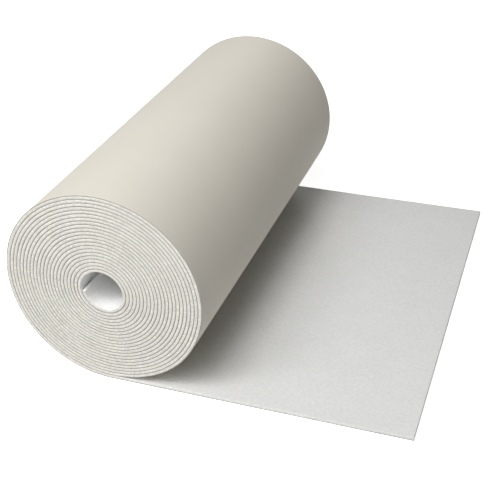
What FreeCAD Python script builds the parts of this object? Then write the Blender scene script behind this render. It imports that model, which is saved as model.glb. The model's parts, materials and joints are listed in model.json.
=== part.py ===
"""Roll of polystyrene insulation wallpaper, lying on its side with its outer end unrolled on the floor.

The wallpaper is one continuous sheet of foam with a card facing bonded to it. It is wound without a core
tube, foam side in, around an open bore. The outermost turn leaves the roll along the line where it touches
the floor and lies flat beside it.

Frame: millimetres, +Z up, +Y along the roll's axis, +X the way the sheet unrolls. The origin is on the
floor, under the middle of the whole object.

The wound part is a body of revolution. Its turns show on both ends as ring grooves, one at each seam
between two turns.
"""

import FreeCAD, Part

import math
import os

# The sheet as it is sold.
sheet_length = 10000.0
sheet_width = 500.0
sheet_thickness = 4.0

# How it is wound.
bore_diameter = 50.0
unrolled_length = 335.0

# The groove that each seam between two turns leaves in the roll's ends.
seam_width = 0.6
seam_depth = 0.8

# What a cutting tool stands out past the face that it cuts.
tool_overshoot = 1.0

# A wound sheet fills the ring between the bore and the roll's outside, so its length sets the radius.
bore_radius = bore_diameter / 2
wound_length = sheet_length - unrolled_length
roll_radius = math.sqrt(bore_radius**2 + wound_length * sheet_thickness / math.pi)
turn_count = round((roll_radius - bore_radius) / sheet_thickness)
turn_pitch = (roll_radius - bore_radius) / turn_count

# The roll touches the floor at roll_x, which puts the middle of the whole object at X = 0.
reach = max(unrolled_length, roll_radius)
roll_x = (roll_radius - reach) / 2
roll_centre = FreeCAD.Vector(roll_x, 0, roll_radius)
roll_axis = FreeCAD.Vector(0, 1, 0)


def turned(profile):
    """A ring around the roll's axis. The profile's points are (radius, Y)."""
    corners = [FreeCAD.Vector(roll_x + radius, y, roll_radius) for radius, y in profile]
    outline = Part.makePolygon(corners + corners[:1])
    return Part.Face(outline).revolve(roll_centre, roll_axis, 360)


def wound_roll():
    """All the turns together, with the open bore through them."""
    half = sheet_width / 2
    return turned([(bore_radius, -half), (roll_radius, -half), (roll_radius, half), (bore_radius, half)])


def unrolled_end():
    """The flat stretch, which starts where the roll touches the floor."""
    corner = FreeCAD.Vector(roll_x, -sheet_width / 2, 0)
    return Part.makeBox(unrolled_length, sheet_width, sheet_thickness, corner)


def seam_groove(radius, side):
    """A V groove round one end, where two turns meet. Side is -1 at the front end and 1 at the back end."""
    face = side * sheet_width / 2
    outside = face + side * tool_overshoot
    bottom = face - side * seam_depth
    inner = radius - seam_width / 2
    outer = radius + seam_width / 2
    return turned([(inner, face), (inner, outside), (outer, outside), (outer, face), (radius, bottom)])


def wallpaper_roll():
    """The whole sheet as one piece: its turns, its flat end and the seams on the roll's two ends."""
    sheet = wound_roll().fuse(unrolled_end())
    seams = [bore_radius + turn * turn_pitch for turn in range(1, turn_count)]
    grooves = [seam_groove(radius, side) for radius in seams for side in (-1, 1)]
    return sheet.cut(grooves).Solids[0]


os.makedirs("parts", exist_ok=True)
model = wallpaper_roll()
model.exportStep("parts/wallpaper_roll.step")

box = model.BoundBox
sheet_volume = sheet_length * sheet_width * sheet_thickness
print(f"roll radius {roll_radius:.2f} mm, {turn_count} turns, {turn_pitch:.3f} mm apart")
print(f"volume {model.Volume / 1e9:.6f} m3, sheet {sheet_volume / 1e9:.6f} m3, valid {model.isValid()}")
print(f"size {box.XLength:.2f} x {box.YLength:.2f} x {box.ZLength:.2f} mm, lowest point {box.ZMin:.3f} mm")
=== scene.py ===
"""Visual model of a roll of polystyrene insulation wallpaper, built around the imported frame.

The sheet is one long strip: a thin card facing with foam bonded to it. It lies flat on the floor, climbs
the roll's -X side and winds inwards, foam side in, to a loose end in the open bore. Both layers follow the
same spiral, foam_sheet as one piece and card_facing as the other.

Units are metres, in the frame's own axes: +Z up, +Y along the roll, +X the way the sheet unrolls.
"""

import json
import math

import bpy
from mathutils import Matrix, Vector, noise


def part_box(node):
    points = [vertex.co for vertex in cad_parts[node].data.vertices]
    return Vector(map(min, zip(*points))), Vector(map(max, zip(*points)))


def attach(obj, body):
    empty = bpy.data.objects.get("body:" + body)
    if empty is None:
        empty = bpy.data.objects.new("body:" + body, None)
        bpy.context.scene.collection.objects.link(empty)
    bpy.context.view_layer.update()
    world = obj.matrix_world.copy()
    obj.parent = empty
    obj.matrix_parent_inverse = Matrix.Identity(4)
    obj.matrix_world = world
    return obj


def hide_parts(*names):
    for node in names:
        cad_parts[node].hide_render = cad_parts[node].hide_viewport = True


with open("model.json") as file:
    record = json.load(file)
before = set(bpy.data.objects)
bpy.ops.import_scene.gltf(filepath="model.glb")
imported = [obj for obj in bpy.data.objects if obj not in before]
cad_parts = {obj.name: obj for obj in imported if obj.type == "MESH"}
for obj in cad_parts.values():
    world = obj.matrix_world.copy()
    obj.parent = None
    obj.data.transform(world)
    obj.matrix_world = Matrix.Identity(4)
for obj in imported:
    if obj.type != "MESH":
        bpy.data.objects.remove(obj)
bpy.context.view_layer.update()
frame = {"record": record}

MM = 0.001

# The sheet's two layers, and the play between one turn and the next.
SHEET_THICKNESS = 4.0 * MM
CARD_THICKNESS = 0.62 * MM
TURN_PLAY = 0.12 * MM

# Where the sheet's inner end lies, as the angle from the bottom, clockwise seen from the front.
INNER_END_ANGLE = math.radians(82)
# How far the inner end curls in, and over what angle.
INNER_CURL = 1.0 * MM
INNER_CURL_ANGLE = math.radians(200)

# How far the turns' front edge stands out at most, and the direction across the roll in which that grows.
FRONT_SLIDE = 3.4 * MM
SLIDE_X, SLIDE_Z = 0.6, 0.8
# Where it starts, against that direction, and over what distance it grows, as shares of the roll's radius.
SLIDE_START = 0.8
SLIDE_REACH = 1.15

# The spiral's start outside the CAD's circle, and its end outside the CAD's bore.
START_OUTSET = 0.3 * SHEET_THICKNESS
END_OUTSET = 0.6 * MM

# Sections close to the cut end on the floor, with how far the foam's top edge is lowered at each.
CUT_END_DROPS = {0.0: 0.5 * MM, 0.25 * MM: 0.15 * MM, 0.8 * MM: 0.0}

# Over what length the edges change from the open turn's look to a covered turn's.
COVER_RAMP = 40 * MM

# The lengths of the inner end whose foam face is painted lighter as painted light in the bore, and near the
# loose end less so, over what length each fades in, and how much of the painted light is taken off there.
BORE_LIGHT_LENGTH = 260 * MM
BORE_LIGHT_DIM_LENGTH = 100 * MM
BORE_LIGHT_RAMP = 50 * MM
BORE_LIGHT_DIMMING = 0.4

# How finely the spiral is divided.
SECTION_LENGTH = 2.7 * MM
SECTION_ANGLE = math.radians(3.0)

roll_low, roll_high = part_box("wallpaper_roll")
bore = next(mount for mount in frame["record"]["mounts"] if mount["name"] == "bore")
half_width = (roll_high.y - roll_low.y) / 2
tail_end_x = roll_high.x
roll_x = bore["pos_m"][0]
tail_length = tail_end_x - roll_x
cad_radius = (roll_high.z - roll_low.z) / 2
bore_radius = bore["dims"]["r_mm"] * MM


# ---------------------------------------------------------------- the spiral that both layers follow

# The spiral starts a little outside the CAD's circle and is soon inside it, so that their outlines agree.
start_radius = cad_radius + START_OUTSET
end_radius = bore_radius + END_OUTSET
whole_turns = round((start_radius - end_radius) / SHEET_THICKNESS - INNER_END_ANGLE / math.tau)
wound_angle = whole_turns * math.tau + INNER_END_ANGLE
turn_pitch = (start_radius - end_radius) / (wound_angle / math.tau)
foam_top = turn_pitch - TURN_PLAY


def clamp(value):
    """The value, kept between 0 and 1."""
    return min(max(value, 0.0), 1.0)


def spiral_radius(angle):
    """Radius of the sheet's card side, at an angle wound clockwise from the bottom."""
    into_curl = max(0.0, 1 - (wound_angle - angle) / INNER_CURL_ANGLE)
    return start_radius - turn_pitch * angle / math.tau - INNER_CURL * into_curl**2


class Section:
    """A place along the sheet: its length from the outer end, its card side's point and its inward normal."""

    def __init__(self, length, x, z, inward_x, inward_z):
        self.length = length
        self.x = x
        self.z = z
        self.inward_x = inward_x
        self.inward_z = inward_z

    def at(self, y, height):
        """The point at y across the sheet and at a height above its card side."""
        return (self.x + height * self.inward_x, y, self.z + height * self.inward_z)


def sheet_sections():
    """The whole sheet, from the cut end on the floor to the loose end in the bore."""
    sections = []
    count = round(tail_length / SECTION_LENGTH)
    flat = list(CUT_END_DROPS) + [tail_length * step / count for step in range(1, count)]
    for length in flat:
        sections.append(Section(length, tail_end_x - length, 0.0, 0.0, 1.0))
    angle = 0.0
    length = tail_length
    while True:
        radius = spiral_radius(angle)
        out_x, out_z = -math.sin(angle), -math.cos(angle)
        x = roll_x + radius * out_x
        z = start_radius + radius * out_z
        sections.append(Section(length, x, z, -out_x, -out_z))
        if angle >= wound_angle:
            return sections
        step = min(SECTION_LENGTH / radius, SECTION_ANGLE, wound_angle - angle)
        angle += step
        length += radius * step


def wander(length, size, seed):
    """Smooth noise from -1 to 1 along the sheet, with features of about that size."""
    return noise.noise(Vector((length / size, seed * 7.31, seed * 3.17)))


def covered(length):
    """0 on the flat end and the outermost turn, where the card is closest to flush, and 1 further in."""
    return clamp((length - tail_length - math.tau * start_radius) / COVER_RAMP)


def bore_painted_light(length):
    """1 where the foam's face in the bore is painted lighter as painted light, less near the loose end, and 0
    elsewhere.
    """
    from_end = sheet_length - length
    dimming = BORE_LIGHT_DIMMING * clamp((BORE_LIGHT_DIM_LENGTH - from_end) / BORE_LIGHT_RAMP)
    return clamp((BORE_LIGHT_LENGTH - from_end) / BORE_LIGHT_RAMP) - dimming


def front_slide(section):
    """How far the wound turns' front edge stands out: nothing low down, and most near the top."""
    if section.length <= tail_length:
        return 0.0
    aside = (section.x - roll_x) * SLIDE_X + (section.z - start_radius) * SLIDE_Z
    rise = clamp((aside / start_radius + SLIDE_START) / SLIDE_REACH)
    return FRONT_SLIDE * rise * rise * (3 - 2 * rise)


# ---------------------------------------------------------------- meshes

def strip_object(name, sections, profile, attribute_of):
    """A closed strip: profile(section) gives the loop of (y, height) points round it at each section.

    The loop runs across one end's edge, from the card side to the foam side, and back across the other's.
    attribute_of(index, section) is how much each of the loop's points looks like a cut edge. The cut end on
    the floor takes 1 all round, and the inner end 0, so that the inner end's foam takes the face's colour
    with its painted light, and its card edge gets none of the card's painted shade.
    """
    loops = [profile(section) for section in sections]
    around = len(loops[0])
    points = []
    for section, loop in zip(sections, loops):
        points += [section.at(y, height) for y, height in loop]
    faces = []
    for row in range(len(sections) - 1):
        here, there = row * around, (row + 1) * around
        for k in range(around):
            after = (k + 1) % around
            faces.append((here + k, here + after, there + after, there + k))
    last = (len(sections) - 1) * around
    faces.append(tuple(range(around))[::-1])
    faces.append(tuple(last + k for k in range(around)))
    mesh = bpy.data.meshes.new(name)
    mesh.from_pydata(points, [], faces)
    cut = mesh.attributes.new("cut_edge", "FLOAT", "POINT")
    values = [1.0] * around
    values += [attribute_of(k, section) for section in sections[1:-1] for k in range(around)]
    values += [0.0] * around
    cut.data.foreach_set("value", values)
    # Painted light: how much the foam's face in the bore is painted lighter.
    fresh = mesh.attributes.new("fresh", "FLOAT", "POINT")
    bore_light_values = [bore_painted_light(section.length) for section in sections for _ in range(around)]
    fresh.data.foreach_set("value", bore_light_values)
    piece = bpy.data.objects.new(name, mesh)
    bpy.context.scene.collection.objects.link(piece)
    mesh.shade_smooth()
    mesh.set_sharp_from_angle(angle=math.radians(50))
    mesh.update()
    return piece


# The foam's cut edge, in millimetres: the radii of its inner and outer corners and how far its middle bulges,
# with how much each varies. The outer corner is rounder between turns, and varies by a share of itself.
INNER_CORNER, INNER_VARIES = 0.40, 0.16
OUTER_CORNER, OUTER_COVERED, OUTER_VARIES = 0.25, 0.20, 0.35
BULGE, BULGE_VARIES = 0.12, 0.14

# How far the card's edge lies inside the foam's, in millimetres, and how much further between turns.
CARD_RECESS, RECESS_COVERED, RECESS_VARIES = 0.10, 0.08, 0.25


def foam_profile(section):
    """The foam's outline: a cut edge with soft corners at each end of the roll."""
    s = section.length
    top = foam_top + 0.05 * MM * wander(s, 22 * MM, 1) + 0.03 * MM * wander(s, 6 * MM, 2)
    top -= CUT_END_DROPS.get(s, 0.0)
    low = CARD_THICKNESS
    points = []
    for side in (-1, 1):
        seed = 10 + side
        edge = 0.16 * MM * wander(s, 160 * MM, seed) + 0.14 * MM * wander(s, 24 * MM, seed + 3)
        edge += 0.12 * MM * wander(s, 5.5 * MM, seed + 6)
        if side < 0:
            edge -= front_slide(section)
        inner = (INNER_CORNER + INNER_VARIES * wander(s, 17 * MM, seed + 9)) * MM
        outer = OUTER_CORNER + OUTER_COVERED * covered(s)
        outer = outer * (1 + OUTER_VARIES * wander(s, 13 * MM, seed + 12)) * MM
        bulge = (BULGE + BULGE_VARIES * wander(s, 4.5 * MM, seed + 15)) * MM
        middle = (low + top) / 2
        # Each point's depth in from the edge, and its height above the card side.
        depths = [
            (outer * 1.6, low),
            (outer * 0.62, low + outer * 0.12),
            (outer * 0.2, low + outer * 0.45),
            (0.0, low + outer),
            (-bulge, middle),
            (0.0, top - inner),
            (inner * 0.18, top - inner * 0.5),
            (inner * 0.55, top - inner * 0.14),
            (inner * 1.4, top),
            (inner * 1.4 + 2.0 * MM, top),
        ]
        edge_points = [(side * (half_width - edge - depth), height) for depth, height in depths]
        points += edge_points if side < 0 else edge_points[::-1]
    return points


# The card's width is divided at these fractions, so that its face can sway a little.
CARD_COLUMNS = [-0.8, -0.55, -0.3, -0.1, 0.1, 0.3, 0.55, 0.8]
CARD_SWAY = 0.3 * MM
SWAY_RAMP = 60 * MM


def card_profile(section):
    """The card's outline: edges a little inside the foam's, and a face that sways on the outermost turn."""
    s = section.length
    deep = CARD_RECESS + RECESS_COVERED * covered(s)
    edges = []
    for side in (-1, 1):
        recess = deep * (1 + RECESS_VARIES * wander(s, 30 * MM, 40 + side)) * MM
        edges.append(side * (half_width - recess))
    front, back = edges
    front -= front_slide(section)
    into_turn = clamp((s - tail_length) / SWAY_RAMP)
    into_turn *= clamp((tail_length + math.tau * start_radius - s) / SWAY_RAMP)
    face = []
    for column in CARD_COLUMNS:
        y = column * half_width
        sway = noise.noise(Vector((s / (150 * MM), y / (120 * MM), 4.2)))
        face.append((y, -into_turn * CARD_SWAY * max(sway, 0.0)))
    bend = 0.3 * MM
    support = 3 * MM
    return [
        (front, bend),
        (front, CARD_THICKNESS),
        (back, CARD_THICKNESS),
        (back, bend),
        (back - bend * 0.5, 0.0),
        (back - support, 0.0),
        *face[::-1],
        (front + support, 0.0),
        (front + bend * 0.5, 0.0),
    ]


# How many points of each outline lie on a cut edge: four in all on the card, and at each end of the foam
# eight of its ten.
CARD_CUT_POINTS = 4
FOAM_CUT_POINTS = 8
FOAM_LOOP_POINTS = 20
# How much paler the card edge's painted shade is between turns, and how much of the cut's tone the flat
# part's foam takes.
COVERED_FADE = 0.1
FLAT_CUT_TONE = 0.3


def card_attribute(index, section):
    """The card's cut edges are its first four points, which carry the painted shade, a little paler where
    they lie between turns.
    """
    return 1.0 - COVERED_FADE * covered(section.length) if index < CARD_CUT_POINTS else 0.0


def foam_attribute(index, section):
    """The foam's cut edges are the eight points at each end that don't lie on its open face."""
    from_edge = min(index, FOAM_LOOP_POINTS - 1 - index)
    tone = FLAT_CUT_TONE if section.length < tail_length else 1.0
    return tone if from_edge < FOAM_CUT_POINTS else 0.0


# ---------------------------------------------------------------- materials

FOAM_FACE = (0.773, 0.774, 0.768)
# The foam's face in the bore, painted lighter as painted light on the bore's wall.
FOAM_BORE_PAINTED_LIGHT = (0.95, 0.95, 0.945)
FOAM_CUT = (0.785, 0.768, 0.715)
CARD_FACE = (0.705, 0.670, 0.595)
# The card's cut edge, near-black: a little darker for the cut, mostly painted shade in the gaps between turns
# and along the sheet's edge on the floor.
CARD_EDGE_PAINTED_SHADE = (0.07, 0.066, 0.058)
# Beads to a metre, and how far to each side of a seam it shows, as a share of a bead.
BEAD_SCALE = 600
SEAM_WIDTH = 0.14


def new_material(name):
    """A material with nodes, and its Principled shader."""
    material = bpy.data.materials.new(name)
    material.use_nodes = True
    nodes = material.node_tree.nodes
    shader = nodes["Principled BSDF"]
    return material, shader


class Graph:
    """Short calls that add nodes to a material and join them."""

    def __init__(self, material):
        self.nodes = material.node_tree.nodes
        self.link = material.node_tree.links.new
        self.place = self.nodes.new("ShaderNodeTexCoord").outputs["Object"]

    def noise(self, scale, detail, roughness=0.5):
        node = self.nodes.new("ShaderNodeTexNoise")
        node.inputs["Scale"].default_value = scale
        node.inputs["Detail"].default_value = detail
        node.inputs["Roughness"].default_value = roughness
        self.link(self.place, node.inputs["Vector"])
        return node.outputs["Fac"]

    def cells(self, scale, feature="F1"):
        node = self.nodes.new("ShaderNodeTexVoronoi")
        node.feature = feature
        node.inputs["Scale"].default_value = scale
        self.link(self.place, node.inputs["Vector"])
        return node

    def ranged(self, value, low, high, from_low=0.0, from_high=1.0):
        node = self.nodes.new("ShaderNodeMapRange")
        node.inputs["From Min"].default_value = from_low
        node.inputs["From Max"].default_value = from_high
        node.inputs["To Min"].default_value = low
        node.inputs["To Max"].default_value = high
        self.link(value, node.inputs["Value"])
        return node.outputs["Result"]

    def math(self, operation, a, b):
        node = self.nodes.new("ShaderNodeMath")
        node.operation = operation
        for socket, value in zip(node.inputs, (a, b)):
            if isinstance(value, float):
                socket.default_value = value
            else:
                self.link(value, socket)
        return node.outputs["Value"]

    def mixed(self, factor, a, b):
        """Between two numbers."""
        node = self.nodes.new("ShaderNodeMix")
        for name, value in (("Factor", factor), ("A", a), ("B", b)):
            if isinstance(value, float):
                node.inputs[name].default_value = value
            else:
                self.link(value, node.inputs[name])
        return node.outputs["Result"]

    def colour_between(self, factor, a, b):
        node = self.nodes.new("ShaderNodeMix")
        node.data_type = "RGBA"
        self.link(factor, node.inputs["Factor"])
        for name, colour in (("A", a), ("B", b)):
            socket = next(i for i in node.inputs if i.name == name and i.type == "RGBA")
            if isinstance(colour, tuple):
                socket.default_value = (*colour, 1)
            else:
                self.link(colour, socket)
        return next(o for o in node.outputs if o.type == "RGBA")

    def scaled(self, colour, value):
        node = self.nodes.new("ShaderNodeVectorMath")
        node.operation = "SCALE"
        self.link(colour, node.inputs[0])
        self.link(value, node.inputs["Scale"])
        return node.outputs["Vector"]

    def bump(self, height, distance, strength):
        node = self.nodes.new("ShaderNodeBump")
        node.inputs["Strength"].default_value = strength
        node.inputs["Distance"].default_value = distance
        self.link(height, node.inputs["Height"])
        return node.outputs["Normal"]

    def attribute(self, name):
        node = self.nodes.new("ShaderNodeAttribute")
        node.attribute_name = name
        return node.outputs["Fac"]


def foam_material():
    """White foam of fused beads. Its cut edges are creamier and show the beads more."""
    material, shader = new_material("polystyrene_foam")
    graph = Graph(material)
    cut = graph.attribute("cut_edge")
    beads = graph.cells(BEAD_SCALE)
    edges = graph.cells(BEAD_SCALE, "DISTANCE_TO_EDGE").outputs["Distance"]
    seams = graph.ranged(edges, 0.0, 1.0, 0.0, SEAM_WIDTH)
    grain = graph.noise(800, 3)
    patches = graph.noise(28, 4)

    bead_tone = graph.nodes.new("ShaderNodeSeparateColor")
    graph.link(beads.outputs["Color"], bead_tone.inputs["Color"])
    half_bead = graph.math("MULTIPLY", bead_tone.outputs["Red"], 0.5)
    half_grain = graph.math("MULTIPLY", grain, 0.5)
    tone = graph.math("ADD", half_bead, half_grain)
    on_face = graph.ranged(tone, 0.93, 1.06)
    on_cut = graph.ranged(tone, 0.76, 1.16)
    spots = graph.mixed(cut, on_face, on_cut)
    lines = graph.mixed(cut, graph.ranged(seams, 0.955, 1.0), graph.ranged(seams, 0.90, 1.0))
    clouds = graph.ranged(patches, 0.965, 1.035)
    mottle = graph.ranged(graph.noise(270, 2), 0.94, 1.06)
    fine = graph.math("MULTIPLY", spots, lines)
    broad = graph.math("MULTIPLY", clouds, mottle)
    value = graph.math("MULTIPLY", fine, broad)
    # Painted light: the foam's face in the bore is mixed towards a lighter colour.
    face = graph.colour_between(graph.attribute("fresh"), FOAM_FACE, FOAM_BORE_PAINTED_LIGHT)
    base = graph.colour_between(cut, face, FOAM_CUT)
    graph.link(graph.scaled(base, value), shader.inputs["Base Color"])

    graph.link(graph.ranged(grain, 0.78, 0.95), shader.inputs["Roughness"])
    shader.inputs["Specular IOR Level"].default_value = 0.3
    height = graph.math("ADD", graph.math("MULTIPLY", seams, 0.6), graph.math("MULTIPLY", grain, 0.6))
    graph.link(graph.bump(height, 0.3 * MM, 0.5), shader.inputs["Normal"])
    return material


def card_material():
    """Smooth uncoated card with a fine fibre. Its cut edges are painted near-black: a little for the cut,
    mostly as painted shade in the gaps between turns and along the sheet's edge on the floor.
    """
    material, shader = new_material("card_facing_paper")
    graph = Graph(material)
    cut = graph.attribute("cut_edge")
    fibres = graph.noise(1000, 4, 0.6)
    specks = graph.noise(330, 2)
    clouds = graph.noise(12, 5)
    spots = graph.ranged(fibres, 0.965, 1.035)
    flecks = graph.ranged(specks, 0.985, 1.015)
    shades = graph.ranged(clouds, 0.96, 1.04)
    value = graph.math("MULTIPLY", graph.math("MULTIPLY", spots, flecks), shades)
    # Painted shade: the card's cut edges go near-black, for the shaded gaps between turns and along the
    # sheet's edge.
    base = graph.colour_between(cut, CARD_FACE, CARD_EDGE_PAINTED_SHADE)
    graph.link(graph.scaled(base, value), shader.inputs["Base Color"])
    graph.link(graph.ranged(fibres, 0.55, 0.75), shader.inputs["Roughness"])
    shader.inputs["Specular IOR Level"].default_value = 0.35
    graph.link(graph.bump(graph.math("ADD", fibres, specks), 0.05 * MM, 0.3), shader.inputs["Normal"])
    return material


# ---------------------------------------------------------------- the two pieces

sections = sheet_sections()
sheet_length = sections[-1].length

foam_sheet = strip_object("foam_sheet", sections, foam_profile, foam_attribute)
foam_sheet.data.materials.append(foam_material())
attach(foam_sheet, "root")
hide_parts("wallpaper_roll")

card_facing = strip_object("card_facing", sections, card_profile, card_attribute)
card_facing.data.materials.append(card_material())
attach(card_facing, "root")
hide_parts("wallpaper_roll")


# ---------------------------------------------------------------- floor, light and camera

FLOOR_REACH = 12.0
# The floor lies just under the sheet, so that their faces don't share a plane.
FLOOR_DROP = 0.3 * MM
FLOOR_COLOUR = (0.82, 0.82, 0.82)
FLOOR_GLOW = 0.84
# The glow rises from that to 1 between these distances from the frame's origin.
GLOW_START, GLOW_END = 0.5, 1.6
AMBIENT = 0.07
AMBIENT_TINT = (1.0, 0.95, 0.82)


def seen_ray(tree):
    """1 for a ray from the camera, off a mirror or through glass, and 0 for scattered light."""
    path = tree.nodes.new("ShaderNodeLightPath")
    seen = path.outputs["Is Camera Ray"]
    for name in ("Is Glossy Ray", "Is Transmission Ray"):
        either = tree.nodes.new("ShaderNodeMath")
        either.operation = "MAXIMUM"
        tree.links.new(seen, either.inputs[0])
        tree.links.new(path.outputs[name], either.inputs[1])
        seen = either.outputs["Value"]
    return seen


def floor_material():
    """Pale and plain as a source of scattered light, and lifted towards white where it is seen."""
    material, shader = new_material("pale_floor")
    tree = material.node_tree
    nodes, link = tree.nodes, tree.links.new
    shader.inputs["Base Color"].default_value = (*FLOOR_COLOUR, 1)
    shader.inputs["Roughness"].default_value = 0.9
    shader.inputs["Specular IOR Level"].default_value = 0.0
    place = nodes.new("ShaderNodeTexCoord")
    far = nodes.new("ShaderNodeVectorMath")
    far.operation = "LENGTH"
    link(place.outputs["Object"], far.inputs[0])
    glow = nodes.new("ShaderNodeMapRange")
    glow.interpolation_type = "SMOOTHSTEP"
    glow.inputs["From Min"].default_value = GLOW_START
    glow.inputs["From Max"].default_value = GLOW_END
    glow.inputs["To Min"].default_value = FLOOR_GLOW
    glow.inputs["To Max"].default_value = 1.0
    link(far.outputs["Value"], glow.inputs["Value"])
    lift = nodes.new("ShaderNodeMath")
    lift.operation = "MULTIPLY"
    link(glow.outputs["Result"], lift.inputs[0])
    link(seen_ray(tree), lift.inputs[1])
    shader.inputs["Emission Color"].default_value = (1, 1, 1, 1)
    link(lift.outputs["Value"], shader.inputs["Emission Strength"])
    return material


def make_floor():
    """The floor, wide enough that its edge lies far behind the object."""
    mesh = bpy.data.meshes.new("floor")
    corners = [(x * FLOOR_REACH, y * FLOOR_REACH, 0) for x, y in ((-1, -1), (1, -1), (1, 1), (-1, 1))]
    mesh.from_pydata(corners, [], [(0, 1, 2, 3)])
    floor = bpy.data.objects.new("floor", mesh)
    bpy.context.scene.collection.objects.link(floor)
    floor.location.z = -FLOOR_DROP
    mesh.materials.append(floor_material())


def make_world():
    """A dim, warm fill from all round, with a backdrop that is white where it is seen."""
    world = bpy.data.worlds.new("studio")
    bpy.context.scene.world = world
    world.use_nodes = True
    nodes, link = world.node_tree.nodes, world.node_tree.links.new
    background = nodes["Background"]
    colour = nodes.new("ShaderNodeMix")
    colour.data_type = "RGBA"
    link(seen_ray(world.node_tree), colour.inputs["Factor"])
    colour.inputs[6].default_value = (*[AMBIENT * part for part in AMBIENT_TINT], 1)
    colour.inputs[7].default_value = (1, 1, 1, 1)
    link(colour.outputs[2], background.inputs["Color"])


LIGHT_TARGET = Vector((0, 0, 0.08))
LIGHT_DISTANCE = 2.4
LIGHT_SIZE = 0.9


# Each lamp's name, azimuth and elevation in degrees, and power in watts.
LAMPS = [
    ("key_light", 0, 48, 17.3),
    ("left_light", -33, 48, 16.6),
    ("low_light", 0, 28, 5.8),
    ("high_light", -13, 65, 19.5),
    ("back_light", -168, 24, 7),
]

CAMERA_PLACE = (0.3220, -1.0172, 0.6794)
CAMERA_TURN = math.radians(19.34)
CAMERA_TILT = math.radians(30.83)
CAMERA_LEAN = math.radians(-1.01)
CAMERA_LENS = 71.19


def studio_light(name, azimuth, elevation, power):
    """A broad lamp that faces the object. Azimuth 0 shines from in front of it and 90 from +X."""
    data = bpy.data.lights.new(name, "AREA")
    data.shape = "SQUARE"
    data.size = LIGHT_SIZE
    data.energy = power
    lamp = bpy.data.objects.new(name, data)
    bpy.context.scene.collection.objects.link(lamp)
    across, above = math.radians(azimuth), math.radians(elevation)
    aside = Vector((math.sin(across) * math.cos(above), -math.cos(across) * math.cos(above), math.sin(above)))
    lamp.location = LIGHT_TARGET + LIGHT_DISTANCE * aside
    lamp.rotation_mode = "QUATERNION"
    lamp.rotation_quaternion = (-aside).to_track_quat("-Z", "Y")


def make_camera():
    """The eye stands in front, to the right and above, and looks back down at the roll."""
    turn, tilt, lean = CAMERA_TURN, CAMERA_TILT, CAMERA_LEAN
    ahead = Vector((-math.sin(turn) * math.cos(tilt), math.cos(turn) * math.cos(tilt), -math.sin(tilt)))
    level = Vector((math.cos(turn), math.sin(turn), 0))
    upright = level.cross(ahead)
    right = math.cos(lean) * level + math.sin(lean) * upright
    up = -math.sin(lean) * level + math.cos(lean) * upright
    data = bpy.data.cameras.new("camera")
    data.sensor_width = 36.0
    data.lens = CAMERA_LENS
    camera = bpy.data.objects.new("camera", data)
    bpy.context.scene.collection.objects.link(camera)
    facing = Matrix((right, up, -ahead)).transposed().to_4x4()
    camera.matrix_world = Matrix.Translation(CAMERA_PLACE) @ facing
    bpy.context.scene.camera = camera


make_floor()
make_world()
for name, azimuth, elevation, power in LAMPS:
    studio_light(name, azimuth, elevation, power)
make_camera()

view = bpy.context.scene.view_settings
view.view_transform = "Standard"
